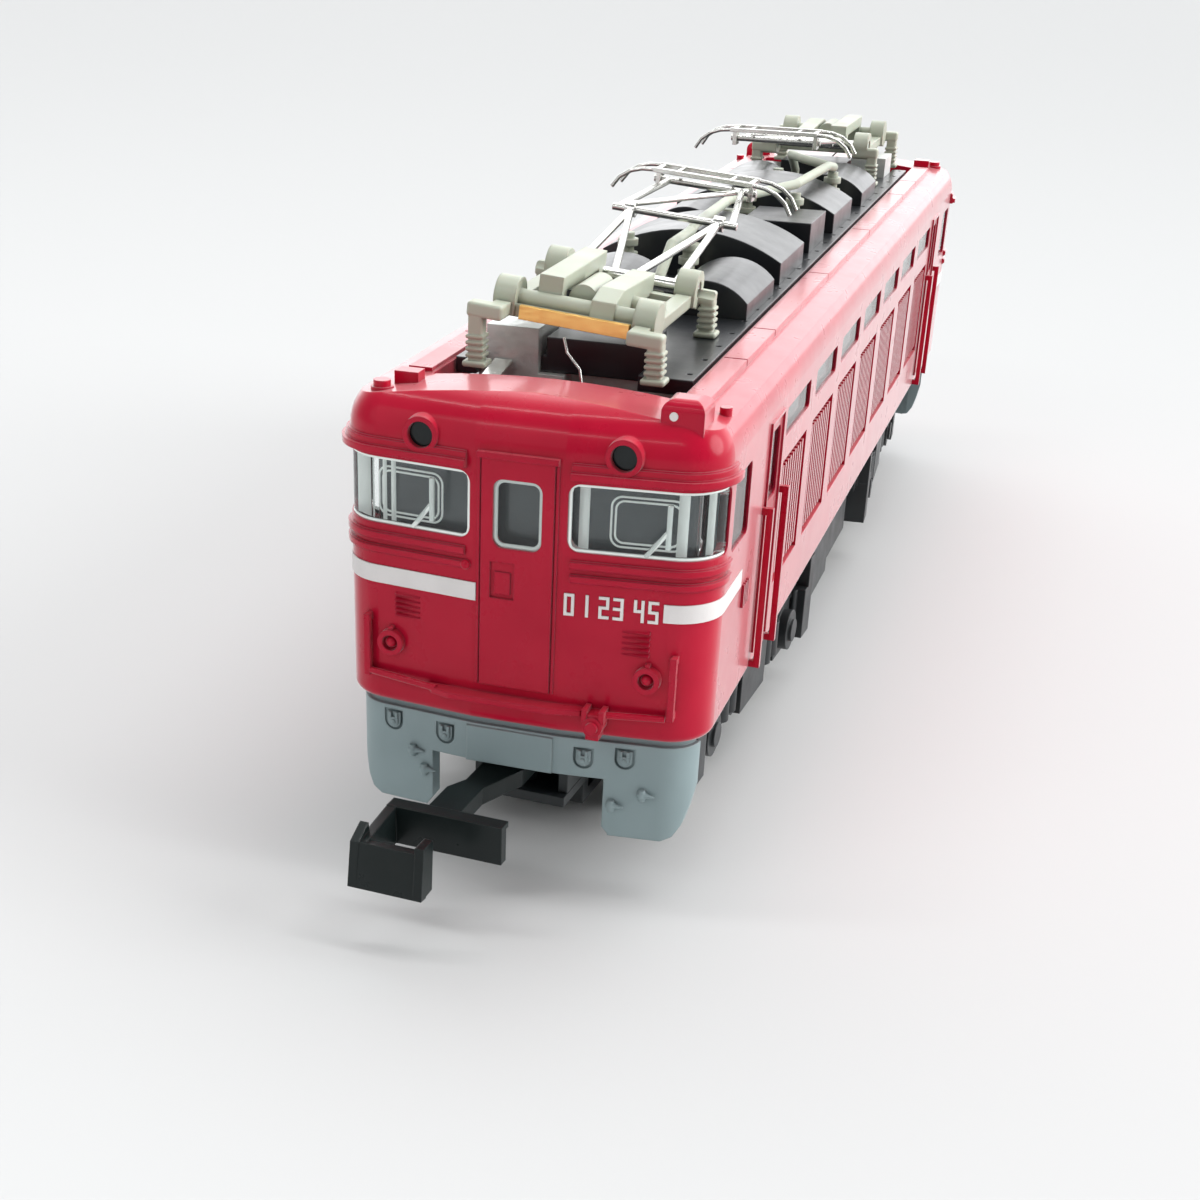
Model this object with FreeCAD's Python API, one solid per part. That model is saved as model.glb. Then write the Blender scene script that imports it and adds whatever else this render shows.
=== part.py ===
import FreeCAD, Part
import math
import os

# A 1:150 scale electric locomotive for 9 mm gauge track, in millimetres.
# +Z is up, +Y runs along the locomotive and its front cab faces -Y.
# The wheel flanges touch z = 0 and the origin is midway between the couplers.

V = FreeCAD.Vector
ORIGIN = V(0, 0, 0)
X_AXIS = V(1, 0, 0)
Y_AXIS = V(0, 1, 0)
Z_AXIS = V(0, 0, 1)

# ---- body shell ----
HALF_WIDTH = 9.35
HALF_LENGTH = 44.2
NOSE_FLAT = 2.2          # half width of the flat middle of each cab front
NOSE_SWEEP = 0.11        # how far the front falls back per millimetre beyond that flat
CORNER_R = 2.3
WALL = 0.95
BODY_BOTTOM = 9.05
ROOF_TOP = 24.9
ROOF_EDGE_R = 2.25
ROOF_CROWN_R = 50.0
CEILING = 23.3
ROOF_HOLE_X = 6.1
ROOF_HOLE_Y = 39.3
WINDOW_LOW = 18.3
WINDOW_HIGH = 21.55
WINDOW_INNER_X = 2.38
WINDOW_WRAP_Y = 41.4
DOOR_HALF = 1.77
DOOR_LOW = 11.1
DOOR_HIGH = 22.35
VISOR_Z = 21.75
BAND_LOW = 15.3
BAND_HIGH = 16.2
PAINT = 0.06             # thickness of the printed band and digits
LAMP_X = 4.88
LAMP_Z = 22.95
LENS_R = 0.6
JUMPER_X = 4.2
RAIL_REACH = 0.42        # how far the grab rails stand off the wall
SIDE_PANELS = 7
PANEL_LENGTH = 6.6
PANEL_PITCH = 8.4

# ---- running gear ----
BOGIE_Y = 23.3
BOGIE_TURN = 3.3         # the bogies stand turned as on a curve, in degrees
AXLE_Y = 8.35
AXLE_Z = 4.6
FLANGE_R = 4.6
TREAD_R = 3.75
WHEEL_BACK_X = 3.7
WHEEL_FRONT_X = 5.6
AXLE_R = 0.75
RUNNING = 0.06           # radial clearance of shafts in their bearings
GEAR_MODULE = 0.3
CENTRE_TEETH = 17
IDLER_TEETH = 16
AXLE_TEETH = 14
GEAR_HALF = 1.1
IDLER_Y = 4.15
PIVOT_R = 3.6

# ---- drive ----
SHAFT_Z = 13.1
SHAFT_R = 0.5
WORM_R = 1.25
MOTOR_R = 4.6
BOLT_Z = 16.5
MOTOR_HALF = 7.5
FLYWHEEL_R = 3.8

# ---- skirt ----
SKIRT_LOW = 3.5
SKIRT_GAP_X = 4.5
SKIRT_GAP_Z = 6.6

# ---- roof and pantographs ----
DECK_TOP = 24.7
DECK_HALF_X = 6.0
DECK_HALF_Y = 36.3
DECK_THICK = 0.75
PANTO_Z = 27.45          # height of the main shafts
PANTO_LEAN = 4.8         # the front pantograph sits a little lower on its right, in degrees
PANTO_FRONT_Y = -35.6
PANTO_REAR_Y = -27.6
LUG_X = 3.5
LEG_X = 4.45
KNEE_X = 2.55
KNEE_Y = -17.8
KNEE_Z = 28.95
HEAD_Y = -10.8
HEAD_Z = 29.6
WIRE_R = 0.2

# ---- coupler ----
COUPLER_PIN_Y = -15.4    # from the bogie centre
COUPLER_Z = 5.5
COUPLER_PLATE_Y = -25.3
COUPLER_HOOK_Y = -29.0


def box(x0, x1, y0, y1, z0, z1):
    return Part.makeBox(x1 - x0, y1 - y0, z1 - z0, V(x0, y0, z0))


def rod(start, end, radius):
    a = V(*start)
    along = V(*end) - a
    return Part.makeCylinder(radius, along.Length, a, along)


def tube(start, end, outer, inner):
    return rod(start, end, outer).cut(rod(start, end, inner))


def fuse(shapes):
    return shapes[0].multiFuse(shapes[1:]).removeSplitter() if len(shapes) > 1 else shapes[0]


def group(shapes):
    return Part.makeCompound(shapes)


def mirrored(shape):
    return shape.mirror(ORIGIN, X_AXIS)


def turned(shape, degrees=180.0):
    copy = shape.copy()
    copy.rotate(ORIGIN, Z_AXIS, degrees)
    return copy


def moved(shape, x, y, z):
    copy = shape.copy()
    copy.translate(V(x, y, z))
    return copy


def sides(shapes):
    """The shapes with their mirror images on the other side."""
    return shapes + [mirrored(s) for s in shapes]


def ends(shapes):
    """The shapes with copies turned round for the other end."""
    return shapes + [turned(s) for s in shapes]


def bent_wire(points, radius):
    """A round wire through the points, with ball corners."""
    pieces = [rod(a, b, radius) for a, b in zip(points, points[1:])]
    pieces += [Part.makeSphere(radius, V(*p)) for p in points[1:-1]]
    return fuse(pieces)


def prism(points, along):
    """A straight-sided outline, closed and pushed along a vector."""
    corners = [V(*p) for p in points]
    return Part.Face(Part.makePolygon(corners + corners[:1])).extrude(V(*along))


# ---------------------------------------------------------------- body shell

def nose_corner(offset):
    """The four points that shape one corner of the plan, at x > 0 and y < 0."""
    width = HALF_WIDTH + offset
    length = HALF_LENGTH + offset
    radius = CORNER_R + offset
    lean = math.atan(NOSE_SWEEP)
    reach = radius * math.tan((math.pi / 2 - lean) / 2)
    meet_y = -length + NOSE_SWEEP * (width - NOSE_FLAT)
    front = V(width - reach * math.cos(lean), meet_y - reach * math.sin(lean), 0)
    side = V(width, meet_y + reach, 0)
    bisector = (lean - math.pi / 2) / 2
    middle = V(width - radius + radius * math.cos(bisector), side.y + radius * math.sin(bisector), 0)
    return V(NOSE_FLAT, -length, 0), front, middle, side


def body_outline(offset, z):
    """The closed plan of the body, moved outwards by offset."""
    flat, front, middle, side = nose_corner(offset)
    quarters = []
    for sx, sy in ((1, 1), (1, -1), (-1, -1), (-1, 1)):
        quarters.append([V(p.x * sx, p.y * sy, 0) for p in (flat, front, middle, side)])
    edges = []
    for number, (a, b, c, d) in enumerate(quarters):
        edges.append(Part.makeLine(a, b))
        edges.append(Part.Arc(b, c, d).toShape())
        partner = quarters[(number + 1) % 4]
        edges.append(Part.makeLine(d, partner[3]) if number % 2 == 0 else Part.makeLine(a, partner[0]))
    wire = Part.Wire(Part.__sortEdges__(edges))
    wire.translate(V(0, 0, z))
    return wire


def body_prism(offset, z0, z1):
    return Part.Face(body_outline(offset, z0)).extrude(V(0, 0, z1 - z0))


def body_ring(outer, inner, z0, z1):
    return body_prism(outer, z0, z1).cut(body_prism(inner, z0, z1))


def body_skin():
    """The hollow box of the body, with a rounded and slightly crowned roof."""
    solid = body_prism(0, BODY_BOTTOM, ROOF_TOP)
    top = [e for e in solid.Edges if e.BoundBox.ZMin > ROOF_TOP - 0.01]
    solid = solid.makeFillet(ROOF_EDGE_R, top)
    low = [e for e in solid.Edges if e.BoundBox.ZMax < BODY_BOTTOM + 0.01]
    solid = solid.makeFillet(0.45, low)
    crown_start = V(0, -2 * HALF_LENGTH, ROOF_TOP - ROOF_CROWN_R)
    crown = Part.makeCylinder(ROOF_CROWN_R, 4 * HALF_LENGTH, crown_start, Y_AXIS)
    return solid.common(crown).cut(body_prism(-WALL, BODY_BOTTOM - 1, CEILING))


def rounded_window(x0, x1, y0, y1, z0, z1, radius, along):
    """A window cutter whose corners are rounded about the axis named by along."""
    cutter = box(x0, x1, y0, y1, z0, z1)
    picked = []
    for edge in cutter.Edges:
        direction = edge.tangentAt(edge.FirstParameter)
        if abs(direction.dot(along)) > 0.99:
            picked.append(edge)
    return cutter.makeFillet(radius, picked)


def windscreen_cutter():
    """One wraparound windscreen, from beside the door round the corner to the cab side."""
    front = rounded_window(WINDOW_INNER_X, 30, -60, -WINDOW_WRAP_Y + 6, WINDOW_LOW, WINDOW_HIGH, 0.6, Y_AXIS)
    side = rounded_window(-20, 30, -80, -WINDOW_WRAP_Y, WINDOW_LOW, WINDOW_HIGH, 0.5, X_AXIS)
    return front.common(side)


def door_window_cutter():
    return rounded_window(-1.2, 1.2, -50, -40, 18.1, 21.4, 0.5, Y_AXIS)


def cab_side_cutters():
    """The sliding window beside the driver and the window of the cab door."""
    sliding = rounded_window(5, 12, -40.5, -37.0, 17.9, 21.5, 0.35, X_AXIS)
    door = rounded_window(5, 12, -32.4, -30.2, 17.9, 21.5, 0.35, X_AXIS)
    return [sliding, door]


def panel_centres():
    first = -PANEL_PITCH * (SIDE_PANELS - 1) / 2
    return [first + PANEL_PITCH * n for n in range(SIDE_PANELS)]


def clerestory_cutters():
    """The row of small windows high on the side."""
    half = PANEL_LENGTH / 2
    return [rounded_window(5, 12, y - half, y + half, 20.3, 21.8, 0.25, X_AXIS) for y in panel_centres()]


def window_cutters():
    corner = sides([windscreen_cutter()])
    cab = sides(cab_side_cutters())
    row = sides(clerestory_cutters())
    return ends(corner + [door_window_cutter()] + cab) + row


def louvre_panels():
    """Shallow recesses in the sides and the upright ribs that stand in them."""
    recesses = []
    ribs = []
    half = PANEL_LENGTH / 2
    for y in panel_centres():
        recesses.append(box(HALF_WIDTH - 0.3, 12, y - half, y + half, 12.3, 19.0))
        for n in range(9):
            rib_y = y - half + 0.6 + n * (PANEL_LENGTH - 1.2) / 8
            ribs.append(box(HALF_WIDTH - 0.35, HALF_WIDTH - 0.05, rib_y - 0.17, rib_y + 0.17, 12.7, 18.6))
    return sides(recesses), sides(ribs)


def belt(z, height, proud, inner_x, rear_y):
    """A moulding round one front corner, from inner_x on the front to rear_y on the side."""
    region = box(inner_x, 12, -48, rear_y, z - height, z + height)
    low = body_ring(proud, -0.2, z - height / 2, z + height / 2)
    soft = body_ring(proud * 0.6, -0.2, z - height / 2 - 0.07, z + height / 2 + 0.07)
    return low.fuse(soft).common(region)


def front_face(x):
    """The y of the front face at that x."""
    return -HALF_LENGTH + NOSE_SWEEP * max(0.0, abs(x) - NOSE_FLAT)


def headlight_housing(x):
    y = front_face(x)
    barrel = Part.makeCone(1.0, 0.86, 1.6, V(x, y + 1.35, LAMP_Z), V(0, -1, 0))
    root = rod((x, y + 3.0, LAMP_Z - 0.1), (x, y + 0.9, LAMP_Z - 0.1), 1.15)
    return barrel.fuse(root)


def headlight_bore(x):
    y = front_face(x)
    return rod((x, y - 1.0, LAMP_Z), (x, y + 5.0, LAMP_Z), LENS_R + 0.02)


def tail_light(x):
    """A ring with a small boss on top and a lens in the middle."""
    y = front_face(x)
    z = 12.4
    ring = tube((x, y + 0.3, z), (x, y - 0.42, z), 0.66, 0.4)
    base = rod((x, y + 0.3, z), (x, y - 0.14, z), 0.5)
    lens = Part.makeSphere(0.3, V(x, y - 0.12, z))
    lug = box(x - 0.12, x + 0.12, y - 0.3, y + 0.3, z + 0.6, z + 0.82)
    return fuse([ring, base, lens, lug])


def upright_rail(x, y, z0, z1, out):
    """A grab rail held off the body by a foot at each end. out points away from the wall."""
    bar_x = x + out[0] * RAIL_REACH
    bar_y = y + out[1] * RAIL_REACH
    bar = box(bar_x - 0.16, bar_x + 0.16, bar_y - 0.16, bar_y + 0.16, z0, z1)
    feet = []
    for z in (z0, z1 - 0.35):
        feet.append(box(min(x, bar_x) - 0.14, max(x, bar_x) + 0.14,
                        min(y, bar_y) - 0.14, max(y, bar_y) + 0.14, z, z + 0.35))
    return fuse([bar] + feet)


def front_slats(x0, x1, z0, z1):
    """A small ventilation louvre of five slats."""
    slats = []
    step = (z1 - z0) / 5
    for n in range(5):
        z = z0 + n * step
        y = front_face((x0 + x1) / 2)
        outline = [(x0, y + 0.2, z), (x0, y - 0.16, z + 0.03), (x0, y + 0.2, z + step * 0.9)]
        slats.append(prism(outline, (x1 - x0, 0, 0)))
    return slats


def step_board():
    """The handrail across the cab front that widens to a step, with its jumper socket."""
    y = -HALF_LENGTH
    rail = [rod((-7.6, y + 0.25, 10.75), (-3.9, y - 0.4, 10.6), 0.17),
            rod((4.2, y - 0.3, 10.5), (7.5, y + 0.25, 10.55), 0.17)]
    plan = [(-4.6, y + 0.1), (-4.1, y - 0.5), (-3.1, y - 0.85), (1.9, y - 0.85), (3.5, y - 0.5),
            (3.9, y + 0.1)]
    outline = [(px, py, 10.35) for px, py in plan]
    step = prism(outline, (0, 0, 0.3))
    plug = rod((JUMPER_X, y + 0.2, 10.0), (JUMPER_X, y - 0.8, 10.0), 0.5)
    cap = rod((JUMPER_X, y + 0.2, 10.0), (JUMPER_X, y - 1.0, 10.0), 0.3)
    neck = box(JUMPER_X - 0.32, JUMPER_X + 0.32, y - 0.7, y + 0.2, 9.3, 10.6)
    lug_places = (JUMPER_X - 0.42, JUMPER_X + 0.42)
    lugs = [box(x - 0.13, x + 0.13, y - 0.75, y + 0.1, 10.2, 10.85) for x in lug_places]
    return rail + [step, plug, cap, neck] + lugs


def shoulder_fittings():
    """The red box and the whistle that stand on the front corners of the cab roof."""
    case = box(6.15, 8.15, -42.9, -40.9, 23.0, 25.45)
    rounded = case.makeFillet(0.55, [e for e in case.Edges if e.BoundBox.ZMin > 25.4])
    knob = rod((8.4, -39.6, 23.0), (8.4, -39.6, 24.55), 0.3)
    whistle = rod((-7.6, -42.0, 22.8), (-7.6, -42.0, 24.75), 0.42)
    rim = rod((-7.6, -42.0, 24.2), (-7.6, -42.0, 24.45), 0.55)
    whistle_base = box(-7.3, -6.1, -41.2, -40.3, 23.4, 25.0)
    return [rounded, knob, whistle, rim, whistle_base]


def front_door():
    """The raised gangway door, its rain strip and the sill below its window."""
    y = -HALF_LENGTH
    leaf = box(-DOOR_HALF, DOOR_HALF, y - 0.14, y + 0.2, DOOR_LOW, DOOR_HIGH)
    strip = box(-DOOR_HALF - 0.2, DOOR_HALF + 0.2, y - 0.3, y + 0.2, DOOR_HIGH, DOOR_HIGH + 0.28)
    posts = [box(-DOOR_HALF - 0.2, -DOOR_HALF - 0.08, y - 0.1, y + 0.2, DOOR_LOW, DOOR_HIGH),
             box(DOOR_HALF + 0.08, DOOR_HALF + 0.2, y - 0.1, y + 0.2, DOOR_LOW, DOOR_HIGH)]
    return [leaf, strip] + posts


def door_recess():
    y = -HALF_LENGTH
    outer = box(-1.3, -0.1, y - 0.2, y - 0.0, 15.6, 17.4)
    return outer.cut(box(-1.1, -0.3, y - 0.08, y + 0.1, 15.8, 16.9))


def front_mouldings():
    """Everything that stands proud of one cab front."""
    parts = front_door() + step_board() + shoulder_fittings()
    for x in (-LAMP_X, LAMP_X):
        parts.append(headlight_housing(x))
    for x in (-6.5, 6.5):
        parts.append(tail_light(x))
        parts.append(upright_rail(math.copysign(7.75, x), front_face(7.75) + 0.1, 10.5, 13.7, (0, -1)))
    parts += sides([belt(VISOR_Z + 0.2, 0.32, 0.42, 2.55, -40.9), belt(VISOR_Z + 0.5, 0.4, 0.2, 2.55, -40.9)])
    parts += sides([belt(17.72, 0.3, 0.2, 2.6, -40.9), belt(17.05, 0.28, 0.2, 2.6, -40.9)])
    parts.append(Part.makeSphere(0.24, V(-2.55, front_face(2.6) - 0.1, 17.05)))
    parts += front_slats(-6.3, -5.0, 13.8, 15.1) + front_slats(5.2, 6.5, 13.5, 14.9)
    return parts


def side_mouldings():
    """Rails, cab door and louvre on one side of one cab, and the drip moulding under the row of windows."""
    parts = []
    for y in (-33.3, -29.3):
        parts.append(upright_rail(HALF_WIDTH, y, 9.4, 18.0, (1, 0)))
    parts.append(box(HALF_WIDTH - 0.3, HALF_WIDTH + 0.12, -32.95, -32.8, 10.0, 22.0))
    parts.append(box(HALF_WIDTH - 0.3, HALF_WIDTH + 0.12, -29.8, -29.65, 10.0, 22.0))
    parts.append(box(HALF_WIDTH - 0.3, HALF_WIDTH + 0.12, -32.95, -29.65, 22.0, 22.15))
    for n in range(4):
        y = -37.1 + n * 0.33
        parts.append(box(HALF_WIDTH - 0.3, HALF_WIDTH + 0.14, y, y + 0.16, 14.0, 15.2))
    return parts


def roof_strips():
    """Raised strips along both edges of the roof, broken by narrow seams."""
    cuts = (-38.9, -31.0, -24.0, -8.0, 8.0, 24.0, 31.0, 38.9)
    strips = []
    for a, b in zip(cuts, cuts[1:]):
        strips.append(box(6.3, 7.5, a + 0.07, b - 0.07, 23.6, 24.68))
    return sides(strips)


def body_shell():
    recesses, ribs = louvre_panels()
    hatch = box(-ROOF_HOLE_X, ROOF_HOLE_X, -ROOF_HOLE_Y, ROOF_HOLE_Y, 22.5, 27)
    shell = body_skin().cut(group([hatch] + recesses))
    raised = ends(front_mouldings()) + ends(sides(side_mouldings())) + ribs + roof_strips()
    shell = shell.multiFuse(raised)
    bores = ends([headlight_bore(-LAMP_X), headlight_bore(LAMP_X), door_recess()])
    return shell.cut(group(window_cutters() + bores + [body_prism(-WALL, BODY_BOTTOM - 1, CEILING)]))


# ------------------------------------------------------- glazing and markings

def cab_glazing():
    """One clear moulding: two windscreens and the door window on a thin inner band, with wipers."""
    skin = body_ring(-0.1, -WALL, 17.0, 22.5)
    panes = [skin.common(c) for c in sides([windscreen_cutter()])]
    door = box(-1.2, 1.2, -HALF_LENGTH, -HALF_LENGTH + WALL, 18.1, 21.4).common(door_window_cutter())
    backing = body_ring(-WALL, -WALL - 0.4, 17.6, 22.1).common(box(-9, 9, -46, -40.9, 17, 23))
    wipers = []
    for x in (-4.36, 7.05):
        y = front_face(x) + 0.02
        wipers.append(rod((x, y, 18.85), (x, y, 20.9), 0.13))
        wipers.append(rod((x - 1.0, front_face(x - 1.0) + 0.02, 18.4), (x - 0.1, y, 19.6), 0.1))
    return fuse(panes + [door, backing] + wipers)


def side_glazing():
    """Clear strips behind each side, with a pane standing in every window."""
    panes = [box(HALF_WIDTH - WALL, HALF_WIDTH - 0.12, -60, 60, 17, 23).common(c)
             for c in clerestory_cutters() + ends_of(cab_side_cutters())]
    strip = box(HALF_WIDTH - WALL - 0.4, HALF_WIDTH - WALL, -29.0, 29.0, 19.9, 22.2)
    cab = [box(HALF_WIDTH - WALL - 0.4, HALF_WIDTH - WALL, -40.7, -29.0, 17.6, 21.8),
           box(HALF_WIDTH - WALL - 0.4, HALF_WIDTH - WALL, 29.0, 40.7, 17.6, 21.8)]
    return group(sides([fuse(panes + [strip] + cab)]))


def ends_of(shapes):
    """The shapes with their mirror images at the other end of the same side."""
    return shapes + [s.mirror(ORIGIN, Y_AXIS) for s in shapes]


def headlight_lens(x):
    y = front_face(x)
    body = rod((x, y + 0.9, LAMP_Z), (x, y + 0.05, LAMP_Z), LENS_R)
    return body


def headlight_lenses():
    return group(ends([headlight_lens(-LAMP_X), headlight_lens(LAMP_X)]))


def digit_strokes(figure, x, z):
    """A figure built from straight bars, standing in the plane y = 0."""
    w, h, t = 0.5, 1.1, 0.15
    bars = {
        "top": (0, w, h - t, h), "mid": (0, w, (h - t) / 2, (h + t) / 2), "low": (0, w, 0, t),
        "tl": (0, t, h / 2, h), "tr": (w - t, w, h / 2, h),
        "bl": (0, t, 0, h / 2), "br": (w - t, w, 0, h / 2),
    }
    used = {
        "0": ("top", "low", "tl", "tr", "bl", "br"), "1": ("tr", "br"),
        "2": ("top", "mid", "low", "tr", "bl"), "3": ("top", "mid", "low", "tr", "br"),
        "4": ("mid", "tl", "tr", "br"), "5": ("top", "mid", "low", "tl", "br"),
    }[figure]
    strokes = [bars[name] for name in used]
    return fuse([box(x + x0, x + x1, -PAINT, 0, z + z0, z + z1) for x0, x1, z0, z1 in strokes])


def cab_number():
    """A made-up running number on the front, right of the door."""
    figures = []
    x = 0.15
    for figure in "01 23 45":
        if figure != " ":
            figures.append(digit_strokes(figure, x, 15.2))
        x += 0.68 if figure != " " else 0.3
    text = group(figures)
    text.rotate(ORIGIN, Z_AXIS, math.degrees(math.atan(NOSE_SWEEP)))
    return moved(text, NOSE_FLAT, -HALF_LENGTH, 0)


def cab_markings():
    """The silver band round the cab corners and the running number."""
    ring = body_ring(PAINT, 0, BAND_LOW, BAND_HIGH)
    left = ring.common(box(-12, -DOOR_HALF - 0.25, -48, -37.6, 14, 18))
    right = ring.common(box(7.05, 12, -48, -37.6, 14, 18))
    marker = rod((6.75, -42.9, 24.75), (6.75, -42.96, 24.75), 0.2)
    return group(ends([left, right, marker, cab_number()]))


# ------------------------------------------------------------------ the roof

def roof_insert():
    """The black deck let into the roof, notched at each end, with a raised step and rivet pits."""
    deck = box(-DECK_HALF_X, DECK_HALF_X, -DECK_HALF_Y, DECK_HALF_Y, DECK_TOP - DECK_THICK, DECK_TOP)
    step = box(-1.9, 3.2, -34.5, -30.6, DECK_TOP - DECK_THICK, DECK_TOP + 0.95)
    notch = box(-4.95, 3.3, -37, -34.5, DECK_TOP - 2, DECK_TOP + 2)
    window = box(-4.95, -2.15, -35, -31.55, DECK_TOP - 2, DECK_TOP + 2)
    pits = []
    for n in range(24):
        y = -DECK_HALF_Y + 1.2 + n * 3.08
        pits.append(rod((5.55, y, DECK_TOP - 0.2), (5.55, y, DECK_TOP + 1), 0.16))
    return fuse([deck] + ends([step])).cut(group(sides(pits) + ends([notch, window])))


def barrel_cover(x0, x1, y0, y1, rise):
    """A raised equipment cover with a barrel top that runs along the roof."""
    low = box(x0, x1, y0, y1, DECK_TOP, DECK_TOP + rise * 0.45)
    half = (x1 - x0) / 2
    height = rise * 0.55
    radius = (half * half + height * height) / (2 * height)
    centre = V((x0 + x1) / 2, y0, DECK_TOP + rise - radius)
    top = Part.makeCylinder(radius, y1 - y0, centre, Y_AXIS)
    return low.fuse(top.common(box(x0, x1, y0, y1, DECK_TOP + rise * 0.45 - 0.01, DECK_TOP + rise + 0.1)))


def roof_equipment():
    """The raised covers and cases between the pantographs."""
    covers = [barrel_cover(-5.4, -0.2, -23.6, -17.2, 2.0),
              barrel_cover(0.9, 5.6, -22.6, -15.4, 1.9),
              barrel_cover(-5.4, 5.4, -12.6, -5.4, 2.7),
              barrel_cover(-5.0, -0.6, -2.6, 3.2, 2.3)]
    covers.append(box(0.8, 5.2, -2.2, 3.0, DECK_TOP, DECK_TOP + 1.8))
    covers += [barrel_cover(-5.4, 5.4, 5.4, 12.6, 2.7), barrel_cover(-5.6, -0.9, 15.4, 22.6, 1.9)]
    covers.append(barrel_cover(0.2, 5.4, 17.2, 23.6, 2.0))
    return group(covers)


def ribbed_insulator(x, y, base, height, radius):
    """A post with three sheds."""
    parts = [rod((x, y, base), (x, y, base + height), radius * 0.62)]
    step = height / 3.4
    for n in range(3):
        z = base + step * (0.45 + n)
        parts.append(rod((x, y, z), (x, y, z + step * 0.5), radius))
    return fuse(parts)


INSULATOR_PLACES = ((0.3, -14.4), (-3.4, -14.4), (0.2, -4.0), (2.9, 4.1), (-0.3, 4.2), (3.6, 14.4),
                    (-0.3, 14.3))


def roof_insulators():
    return group([ribbed_insulator(x, y, DECK_TOP, 2.6, 0.6) for x, y in INSULATOR_PLACES])


def conductor_pipes():
    """The pale busbar pipe that joins the two pantographs over the insulators."""
    z = DECK_TOP + 2.92
    low = DECK_TOP + 3.15
    path = [(0.35, -21.4, DECK_TOP), (0.35, -21.4, DECK_TOP + 1.6), (0.3, -18.8, z), (0.3, -14.4, z)]
    path += [(0.3, -13.2, low), (0.2, -4.0, low), (2.9, 4.1, low), (3.4, 13.0, low), (3.6, 14.4, z)]
    path += [(0.9, 17.4, z), (-0.35, 19.2, z), (-0.35, 21.4, DECK_TOP + 1.6), (-0.35, 21.4, DECK_TOP)]
    return bent_wire(path, 0.3)


def roof_weight():
    """The cast ballast under the roof deck, with a rough block that stands up through it at each end."""
    block = box(-5.3, 5.3, -36.0, 36.0, 21.1, DECK_TOP - 0.8)
    post = box(-4.9, -2.2, -34.9, -31.6, DECK_TOP - 0.9, DECK_TOP + 1.4)
    recesses = [box(-0.9, 6, -37, -33.5, 20, 24), box(-6, 6, -37, -34.9, 20, 24)]
    return fuse([block] + ends([post])).cut(group(ends(recesses)))


# ------------------------------------------------------------------- skirts

def socket_form(x, z, half, top, y0, y1):
    """A plug shape with a square head and a round foot, seen from the front."""
    return box(x - half, x + half, y0, y1, z, z + top).fuse(rod((x, y0, z), (x, y1, z), half))


def jumper_socket(x, z):
    """The groove round one socket in the apron, and the raised plug with two ears inside it."""
    face = front_face(x) + 0.5
    groove = socket_form(x, z, 0.5, 0.62, face - 0.3, face + 0.14)
    groove = groove.cut(socket_form(x, z, 0.37, 0.49, face - 0.4, face + 0.3))
    plug = socket_form(x, z - 0.02, 0.25, 0.2, face - 0.12, face + 0.1)
    boss = rod((x, face + 0.1, z - 0.02), (x, face - 0.18, z - 0.02), 0.12)
    ears = [box(e - 0.07, e + 0.07, face - 0.14, face + 0.1, z + 0.2, z + 0.5) for e in (x - 0.17, x + 0.17)]
    return groove, [plug, boss] + ears


def air_cock(x, z):
    """A rounded valve body with a pointed nose."""
    face = front_face(x) + 0.5
    body = rod((x, face - 0.12, z - 0.3), (x, face - 0.12, z + 0.3), 0.17)
    middle = Part.makeSphere(0.27, V(x, face - 0.1, z))
    root = rod((x, face + 0.2, z), (x, face - 0.1, z), 0.2)
    nose = Part.makeCone(0.15, 0.04, 0.5, V(x + 0.15, face - 0.16, z + 0.03), V(1, 0, -0.05))
    return [body, middle, root, nose]


def skirt():
    """The grey apron under one cab, open in the middle for the coupler."""
    plate = body_ring(-0.5, -1.5, SKIRT_LOW, BODY_BOTTOM - 0.02).common(box(-9, 9, -46, -41.6, 3, 10))
    shelf = body_prism(-1.0, BODY_BOTTOM - 0.7, BODY_BOTTOM - 0.02).common(box(-9, 9, -46, -40.4, 3, 10))
    gap = box(-SKIRT_GAP_X, SKIRT_GAP_X, -46, -40, 0, SKIRT_GAP_Z)
    ledge = body_ring(0.5, -0.72, BODY_BOTTOM - 0.42, BODY_BOTTOM + 0.5)
    taper = prism([(9.0, -46, 7.2), (11, -46, 7.2), (11, -46, 3), (7.1, -46, 3), (7.5, -46, SKIRT_LOW + 0.02),
                   (8.0, -46, SKIRT_LOW + 0.25), (8.35, -46, SKIRT_LOW + 0.8), (8.6, -46, SKIRT_LOW + 1.7)],
                  (0, 8, 0))
    inner_face = [(-0.1, 3), (0.45, 3), (0.3, SKIRT_LOW + 0.1), (0, SKIRT_LOW + 0.45),
                  (-0.1, SKIRT_LOW + 0.45)]
    inner = prism([(SKIRT_GAP_X + dx, -46, z) for dx, z in inner_face], (0, 8, 0))
    grooves = []
    y = -HALF_LENGTH + 0.5
    details = [box(-2.6, 1.9, y - 0.1, y + 0.3, SKIRT_GAP_Z, BODY_BOTTOM - 0.55)]
    for x, z in ((-6.7, 7.8), (-3.8, 7.65), (3.45, 7.55), (5.5, 7.75)):
        groove, raised = jumper_socket(x, z)
        grooves.append(groove)
        details += raised
    for x, z in ((-5.6, 6.45), (-4.95, 5.5), (4.95, 5.25), (6.45, 6.0)):
        details += air_cock(x, z)
    apron = fuse([plate, shelf]).cut(group([gap, ledge] + grooves + sides([taper, inner])))
    return fuse([apron] + details)


# ------------------------------------------------------------------ chassis

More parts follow.
